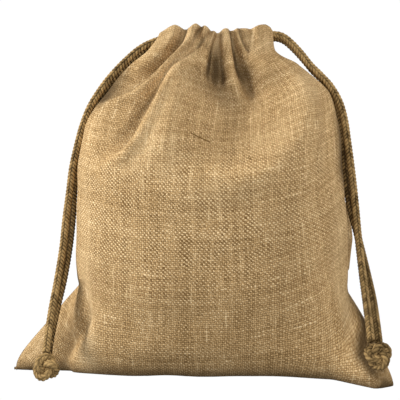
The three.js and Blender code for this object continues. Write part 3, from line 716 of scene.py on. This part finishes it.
# A braided cord along a line: columns of slanted strands, each column leaning against the next.
def braid(name, line, lengths, seed, shade_by_height, closed=False):
    rng = np.random.default_rng(seed)
    dark = np.interp(line[:, 2], CORD_SHADE_HEIGHTS, shade_by_height)[:, None]
    normals, sides = across_line(line, closed)
    total = lengths[-1]
    pitch = total / max(1, round(total / BRAID_PITCH))
    around = np.linspace(0, 1, BRAID_SIDES, endpoint=False)[None, :]
    turn = np.zeros((len(line), 1))
    if closed:
        cross = np.dot(normals[-1], sides[0])
        slip = math.atan2(cross, np.dot(normals[-1], normals[0])) / (2 * math.pi)
        turn = slip * (lengths / total)[:, None]
    column = np.floor(around * BRAID_COLUMNS)
    across = around * BRAID_COLUMNS - column - 0.5
    odd = column % 2
    phase = (lengths / pitch)[:, None] + BRAID_SLANT * (2 * odd - 1) * across + 0.5 * odd
    leaf = np.floor(phase)
    long_way = np.sin(math.pi * (phase - leaf)) ** STRAND_ROUND_ALONG
    height = long_way * np.cos(math.pi * across) ** STRAND_ROUND_ACROSS
    tones = rng.uniform(-1, 1, STRAND_TONES)
    gap, rise = KNOT_TONE if closed else CORD_TONE
    own = tones[(13 * leaf + 5 * column).astype(int) % STRAND_TONES]
    # Tone: painted shade in the gaps between strands and the cord's painted shade by height, plus each
    # strand's own tone.
    tone = gap + rise * height - dark + STRAND_OWN * own
    radius = CORD_THICK / 2 * (GAP_RADIUS + STRAND_HIGH * height)
    angle = 2 * math.pi * (around - turn)
    spokes = np.cos(angle)[..., None] * normals[:, None] + np.sin(angle)[..., None] * sides[:, None]
    points = line[:, None] + radius[..., None] * spokes
    count = len(line) - 1 if closed else len(line)
    points, tone = points[:count], tone[:count]
    ids = np.arange(count * BRAID_SIDES).reshape(count, BRAID_SIDES)
    ring = np.concatenate([ids, ids[:, :1]], axis=1)
    rows = np.concatenate([ring, ring[:1]]) if closed else ring
    faces = np.concatenate([quads(b, a) for a, b in zip(rows, rows[1:])]).tolist()
    points, tone = points.reshape(-1, 3), tone.reshape(-1)
    if not closed:
        points = np.concatenate([points, line[:1], line[-1:]])
        tone = np.concatenate([tone, [TIP_TONE, TIP_TONE]])
        first, last = ring[0].tolist(), ring[-1].tolist()
        faces += [(a, b, len(points) - 2) for a, b in zip(first, first[1:])]
        faces += [(b, a, len(points) - 1) for a, b in zip(last, last[1:])]
    return mesh_object(name, points + FRAME_SHIFT, faces, {"tone": tone})


# The closed turn of an overhand knot drawn tight.
def knot_route(at, reach, turned):
    scale = (reach - CORD_THICK / 2) / 3
    turn = Euler([math.radians(value) for value in turned]).to_matrix()
    route = []
    for i in range(KNOT_POINTS):
        angle = 2 * math.pi * i / KNOT_POINTS
        out = 2 + math.cos(3 * angle)
        deep = KNOT_DEEP * math.sin(3 * angle)
        loop = Vector((out * math.cos(2 * angle), out * math.sin(2 * angle), deep))
        route.append(Vector(at) + turn @ (loop * scale))
    return np.array(route)


# Camera: straight along +Y, its frame moved so that the photo's eye level lies above the middle.
CAMERA_AWAY = 1000
CAMERA_HIGH = 220
CAMERA_SHIFT = (-0.01, -0.1745)
VIEW_WIDE = 380
SENSOR = 36


def add_camera():
    data = bpy.data.cameras.new("camera")
    data.sensor_width = SENSOR
    data.lens = SENSOR * CAMERA_AWAY / VIEW_WIDE
    data.shift_x, data.shift_y = CAMERA_SHIFT
    eye = bpy.data.objects.new("camera", data)
    eye.location = (FRAME_SHIFT[0] * MM, (FRAME_SHIFT[1] - CAMERA_AWAY) * MM, CAMERA_HIGH * MM)
    eye.rotation_euler = (math.pi / 2, 0, 0)
    bpy.context.collection.objects.link(eye)
    bpy.context.scene.camera = eye


# Shader nodes, built from short helpers.
class Nodes:
    def __init__(self, tree):
        self.tree = tree

    def add(self, kind, **settings):
        node = self.tree.nodes.new(kind)
        for key, value in settings.items():
            setattr(node, key, value)
        return node

    def put(self, node, place, value):
        if isinstance(value, bpy.types.NodeSocket):
            self.tree.links.new(value, node.inputs[place])
        else:
            node.inputs[place].default_value = value

    def math(self, operation, *values):
        node = self.add("ShaderNodeMath", operation=operation)
        for i, value in enumerate(values):
            self.put(node, i, value)
        return node.outputs[0]

    def mix(self, share, low, high):
        node = self.add("ShaderNodeMix", data_type="FLOAT")
        for place, value in ((0, share), (2, low), (3, high)):
            self.put(node, place, value)
        return node.outputs[0]

    def colour(self, share, low, high):
        node = self.add("ShaderNodeMix", data_type="RGBA")
        for place, value in ((0, share), (6, low), (7, high)):
            self.put(node, place, value)
        return node.outputs[2]

    def vector(self, x, y, z):
        node = self.add("ShaderNodeCombineXYZ")
        for i, value in enumerate((x, y, z)):
            self.put(node, i, value)
        return node.outputs[0]

    def noise(self, vector, scale, detail=2.0, rough=0.5):
        node = self.add("ShaderNodeTexNoise")
        self.put(node, "Vector", vector)
        self.put(node, "Scale", scale)
        self.put(node, "Detail", detail)
        self.put(node, "Roughness", rough)
        return node.outputs["Fac"]

    def ramp(self, value, start, end, low, high):
        node = self.add("ShaderNodeMapRange", interpolation_type="SMOOTHSTEP")
        for i, setting in enumerate((value, start, end, low, high)):
            self.put(node, i, setting)
        return node.outputs[0]

    def random(self, x, y):
        node = self.add("ShaderNodeTexWhiteNoise", noise_dimensions="2D")
        self.put(node, "Vector", self.vector(x, y, 0.0))
        return node.outputs["Value"]

    def past(self, value, start):
        return self.math("SUBTRACT", value, start)

    def held(self, value):
        return self.math("MINIMUM", self.math("MAXIMUM", value, 0.0), 1.0)

    def bump(self, shader, height, strength, distance):
        node = self.add("ShaderNodeBump")
        for place, value in (("Strength", strength), ("Distance", distance), ("Height", height)):
            self.put(node, place, value)
        self.put(shader, "Normal", node.outputs[0])


def new_material(name, rough):
    material = bpy.data.materials.new(name)
    material.use_nodes = True
    nodes = Nodes(material.node_tree)
    shader = material.node_tree.nodes["Principled BSDF"]
    nodes.put(shader, "Roughness", rough)
    nodes.put(shader, "Specular IOR Level", GLOSS)
    return material, nodes, shader


# Colours of cloth and cord, and of painted shade. Painted highlights mix towards a paler cloth, by the tone
# times and plus PALE_RANGE.
CLOTH_DARK = (0.172, 0.092, 0.028, 1)
CLOTH_MID = (0.537, 0.345, 0.154, 1)
CLOTH_LIGHT = (0.86, 0.64, 0.36, 1)
PAINTED_SHADE_COLOUR = (0.05, 0.028, 0.01, 1)
CORD_DARK = (0.05, 0.028, 0.008, 1)
CORD_LIGHT = (0.43, 0.28, 0.114, 1)
PALE_RANGE = (1.6, -0.2)
HIGHLIGHT_SHARE = 1.9
GLOSS = 0.15
CLOTH_ROUGH = 0.92
CORD_ROUGH = 0.9

# Bumps: strength and height in metres, and what check and fibre add to the cloth's.
CLOTH_BUMP = (0.8, 0.0008)
CORD_BUMP = (0.5, 0.0004)
BUMP_CHECK = 0.3
BUMP_FIBRE = 0.5

# Noise on the cords: changes per metre, finer layers and their roughness, and what it adds to the tone.
CORD_FIBRE = (900.0, 3.0, 0.6)
CORD_WEAR = (130.0, 3.0, 0.6)
CORD_FIBRE_SHARE = 0.8
CORD_WEAR_SHARE = 1.2

# Noise on the cloth: changes per millimetre, finer layers, and their roughness where it is not the usual one.
FAR_WANDER = (0.03, 2.0)
NEAR_WANDER = (0.16, 3.0)
PATCHY_CHECK = (0.07, 3.0)
FIBRE = (1.5, 3.0, 0.65)
PATCH = (0.02, 3.0, 0.55)
SPECK = (0.75, 1.0)

# How far threads wander, in threads, and how much of each diagonal shows.
FAR_SWAY = 2.2
NEAR_SWAY = 1.7
FALLING = -0.64
RISING = 0.36

# How strongly the check shows: uneven, more above the belly's middle, less on the right and near the mouth.
PATCHY_MOST = 2.4
PATCHY_LESS = -0.25
CHECK_BY_HEIGHT = (110, 190, 0.7, 1.4)
CHECK_BY_RIGHT = (0, 110, 1.0, 0.55)
CHECK_BY_MOUTH = (240, 295, 1.0, 0.4)
THREAD_ROUND = 0.4

# Slubs of a thread: their spacing across and along the threads, and how large one is before it shines.
SLUB_ACROSS = 3.7
SLUB_ALONG = 0.03
SLUB_FROM = 0.12

# What each of these adds to the tone of the cloth, where 0 is dark, 0.5 the cloth's own and 1 light.
TONE_BASE = 0.485
TONE = dict(
    check=0.28, crossing=0.2, lower=0.35, fibre=0.95, patch=0.3, hill=0.55,
    speck=-0.35, stray=-0.5, own=0.2, slub=0.4, bright=3.2,
)
HILL_MEAN = 0.75
SPECK_FROM = 0.745

# A dark stray fibre: its middle on the cloth, half its length, its slope and half its width.
# It shows only on the front, whose seed lies below seed_below.
STRAY = dict(u=-11, v=287.5, half=9.5, slope=-0.36, thick=0.7, seed_below=5.0)

# Seeds of the panels, what the level threads add to them, and the first seeds of the knots and cords.
FRONT_SEED = 3
BACK_SEED = 11
WEFT_SEED = 7.0
WEFT_TONE_SEED = 40.0
KNOT_SEED = 20
CORD_SEED = 30


# Plain-woven jute: uneven threads both ways, over and under by turns, with slubs and stray dark fibres.
def jute():
    material, nodes, shader = new_material("jute", CLOTH_ROUGH)
    place = nodes.add("ShaderNodeAttribute", attribute_name="weave")
    parts = nodes.add("ShaderNodeSeparateXYZ")
    nodes.put(parts, 0, place.outputs["Vector"])
    u, v, seed = parts.outputs
    painted_shade = nodes.add("ShaderNodeAttribute", attribute_name="painted_shade").outputs["Fac"]
    painted_highlight = nodes.add("ShaderNodeAttribute", attribute_name="painted_highlight").outputs["Fac"]
    spot = nodes.vector(u, v, seed)

    # Threads wander a little, far and near.
    def wander(value, first, second, start):
        far = nodes.noise(nodes.vector(first, second, start), *FAR_WANDER)
        near = nodes.noise(nodes.vector(second, first, start), *NEAR_WANDER)
        total = nodes.math("MULTIPLY_ADD", far, FAR_SWAY, nodes.math("DIVIDE", value, THREAD_PITCH))
        return nodes.math("MULTIPLY_ADD", near, NEAR_SWAY, total)

    warp = wander(u, u, v, seed)
    weft = wander(v, v, u, nodes.math("ADD", seed, WEFT_SEED))
    warp_id = nodes.math("FLOOR", warp)
    weft_id = nodes.math("FLOOR", weft)
    over = nodes.math("MODULO", nodes.math("ABSOLUTE", nodes.math("ADD", warp_id, weft_id)), 2.0)

    # The twist of the yarn slants each crossing, so one diagonal shows more than the other.
    falling = nodes.math("COSINE", nodes.math("MULTIPLY", nodes.math("ADD", warp, weft), math.pi))
    rising = nodes.math("COSINE", nodes.math("MULTIPLY", nodes.math("SUBTRACT", warp, weft), math.pi))
    check = nodes.math("MULTIPLY_ADD", rising, RISING, nodes.math("MULTIPLY", falling, FALLING))
    strength = nodes.math("MULTIPLY_ADD", nodes.noise(spot, *PATCHY_CHECK), PATCHY_MOST, PATCHY_LESS)
    for value, ramp in ((v, CHECK_BY_HEIGHT), (u, CHECK_BY_RIGHT), (v, CHECK_BY_MOUTH)):
        strength = nodes.math("MULTIPLY", strength, nodes.ramp(value, *ramp))

    # Threads are round, so each crossing is a small hill; its tone paints highlight on the crossings and
    # shade in the gaps between threads.
    def bulge(thread):
        wave = nodes.math("SINE", nodes.math("MULTIPLY", nodes.math("FRACT", thread), math.pi))
        return nodes.math("POWER", wave, THREAD_ROUND)

    hill = nodes.math("MULTIPLY", bulge(warp), bulge(weft))

    # Each thread has its own tone, with light slubs here and there along it.
    def thread_tone(number, along, start):
        apart = nodes.math("MULTIPLY", number, SLUB_ACROSS)
        line = nodes.vector(apart, nodes.math("MULTIPLY", along, SLUB_ALONG), start)
        own = nodes.past(nodes.random(number, start), 0.5)
        slub = nodes.past(nodes.noise(line, 1.0), 0.5)
        bright = nodes.math("MAXIMUM", nodes.past(slub, SLUB_FROM), 0.0)
        total = nodes.math("MULTIPLY_ADD", slub, TONE["slub"], nodes.math("MULTIPLY", own, TONE["own"]))
        return nodes.math("MULTIPLY_ADD", bright, TONE["bright"], total)

    warp_tone = thread_tone(warp_id, v, seed)
    weft_tone = thread_tone(weft_id, u, nodes.math("ADD", seed, WEFT_TONE_SEED))
    upper = nodes.mix(over, weft_tone, warp_tone)
    lower = nodes.mix(over, warp_tone, weft_tone)

    # Dark specks, and one long dark fibre.
    speck = nodes.math("GREATER_THAN", nodes.noise(spot, *SPECK), SPECK_FROM)
    along = nodes.past(u, STRAY["u"])
    slope = nodes.math("MULTIPLY", along, STRAY["slope"])
    across = nodes.past(nodes.past(v, STRAY["v"]), slope)
    stray = nodes.math("LESS_THAN", nodes.math("ABSOLUTE", across), STRAY["thick"])
    short = nodes.math("LESS_THAN", nodes.math("ABSOLUTE", along), STRAY["half"])
    stray = nodes.math("MULTIPLY", stray, short)
    stray = nodes.math("MULTIPLY", stray, nodes.math("LESS_THAN", seed, STRAY["seed_below"]))

    # All that makes the cloth lighter or darker, added up.
    fibre = nodes.noise(spot, *FIBRE)
    tone = nodes.math("MULTIPLY_ADD", nodes.math("MULTIPLY", check, strength), TONE["check"], TONE_BASE)
    crossing = nodes.past(nodes.random(warp_id, weft_id), 0.5)
    tone = nodes.math("MULTIPLY_ADD", crossing, TONE["crossing"], tone)
    tone = nodes.math("ADD", tone, nodes.math("MULTIPLY_ADD", lower, TONE["lower"], upper))
    # The hill adds painted highlight on each crossing and painted shade in the gaps between threads.
    for cause, value in (
        ("fibre", nodes.past(fibre, 0.5)),
        ("patch", nodes.past(nodes.noise(spot, *PATCH), 0.5)),
        ("hill", nodes.past(hill, HILL_MEAN)),
        ("speck", speck),
        ("stray", stray),
    ):
        tone = nodes.math("MULTIPLY_ADD", value, TONE[cause], tone)

    low = nodes.colour(nodes.held(nodes.math("MULTIPLY", tone, 2.0)), CLOTH_DARK, CLOTH_MID)
    full = nodes.colour(nodes.held(nodes.math("MULTIPLY_ADD", tone, 2.0, -1.0)), low, CLOTH_LIGHT)
    # Painted shade darkens the cloth here, and painted highlight below mixes it towards a paler cloth.
    shaded = nodes.colour(painted_shade, full, PAINTED_SHADE_COLOUR)
    pale = nodes.colour(nodes.held(nodes.math("MULTIPLY_ADD", tone, *PALE_RANGE)), CLOTH_MID, CLOTH_LIGHT)
    wear_and_highlight = nodes.math("DIVIDE", painted_highlight, nodes.math("ADD", painted_highlight, 1.0))
    wear_and_highlight = nodes.held(nodes.math("MULTIPLY", wear_and_highlight, HIGHLIGHT_SHARE))
    nodes.put(shader, "Base Color", nodes.colour(wear_and_highlight, shaded, pale))
    height = nodes.math("MULTIPLY_ADD", check, BUMP_CHECK, hill)
    nodes.bump(shader, nodes.math("MULTIPLY_ADD", fibre, BUMP_FIBRE, height), *CLOTH_BUMP)
    return material


# Braided cord: painted shade in the gaps between strands, each strand its own tone.
def rope():
    material, nodes, shader = new_material("cord", CORD_ROUGH)
    tone = nodes.add("ShaderNodeAttribute", attribute_name="tone").outputs["Fac"]
    spot = nodes.add("ShaderNodeTexCoord").outputs["Object"]
    fibre = nodes.noise(spot, *CORD_FIBRE)
    wear_and_highlight = nodes.noise(spot, *CORD_WEAR)
    share = nodes.math("MULTIPLY_ADD", nodes.past(fibre, 0.5), CORD_FIBRE_SHARE, tone)
    share = nodes.math("MULTIPLY_ADD", nodes.past(wear_and_highlight, 0.5), CORD_WEAR_SHARE, share)
    nodes.put(shader, "Base Color", nodes.colour(nodes.held(share), CORD_DARK, CORD_LIGHT))
    nodes.bump(shader, fibre, *CORD_BUMP)
    return material


def add_light(name, where, target, size, power):
    data = bpy.data.lights.new(name, "AREA")
    data.shape = "DISK"
    data.size = size
    data.energy = power
    lamp = bpy.data.objects.new(name, data)
    lamp.location = where
    lamp.rotation_euler = (Vector(target) - Vector(where)).to_track_quat("-Z", "Y").to_euler()
    bpy.context.collection.objects.link(lamp)


# Lamps: where each stands, what it points at, in metres, its size and its power in watts.
LAMPS = {
    "left": ((-0.95, -0.15, 0.6), (0, 0, 0.2), 0.4, 14.5),
    "right": ((0.95, -0.2, 0.5), (0, 0, 0.2), 0.6, 4),
    "high": ((0.6, -0.5, 0.95), (0, 0, 0.2), 0.4, 1.8),
    "front": ((0, -1.4, 0.5), (0, 0, 0.2), 1.0, 11),
}

# The world's light, and from which share of the way back it changes from one to the other.
BACK_LIGHT = 1.02
FRONT_LIGHT = 0.23
BEHIND = (0.7, 0.94)


# White behind the bag, dim in front, with soft lamps.
def add_studio():
    world = bpy.context.scene.world or bpy.data.worlds.new("world")
    bpy.context.scene.world = world
    world.use_nodes = True
    nodes = Nodes(world.node_tree)
    way = nodes.add("ShaderNodeSeparateXYZ")
    nodes.put(way, 0, nodes.add("ShaderNodeTexCoord").outputs["Generated"])
    sky = world.node_tree.nodes["Background"]
    nodes.put(sky, "Strength", nodes.ramp(way.outputs[1], *BEHIND, FRONT_LIGHT, BACK_LIGHT))
    nodes.put(sky, "Color", (1, 1, 1, 1))
    for name, (where, target, size, power) in LAMPS.items():
        add_light(name, where, target, size, power)
    bpy.context.scene.view_settings.view_transform = "Standard"


add_camera()
cord_material = rope()
for number, (name, tie) in enumerate(KNOTS.items()):
    line, lengths = even_path(knot_route(**tie), BRAID_STEP, closed=True)
    piece = braid(name + "_braid", line, lengths, KNOT_SEED + number, CORD_PAINTED_SHADE[name], closed=True)
    piece.data.materials.append(cord_material)
    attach(piece, "root")
    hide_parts(name)
for number, (name, route) in enumerate(CORDS.items()):
    line, lengths = even_path(route, BRAID_STEP)
    piece = braid(name + "_braid", line, lengths, CORD_SEED + number, CORD_PAINTED_SHADE[name])
    piece.data.materials.append(cord_material)
    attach(piece, "root")
    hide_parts(name)
    side = "knot_left" if "left" in name else "knot_right"

cloth_material = jute()
for name, side, folds, creases, seed in (
    ("front_panel", -1, list(FRONT_FOLDS.values()), list(CREASES.values()), FRONT_SEED),
    ("back_panel", 1, back_folds(), [], BACK_SEED),
):
    painted_spots = list(PAINTED_SHADE_AND_HIGHLIGHT.values()) if side < 0 else []
    piece = panel(name + "_cloth", side, folds, creases, painted_spots, seed)
    piece.data.materials.append(cloth_material)
    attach(piece, "root")
    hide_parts(name)

add_studio()
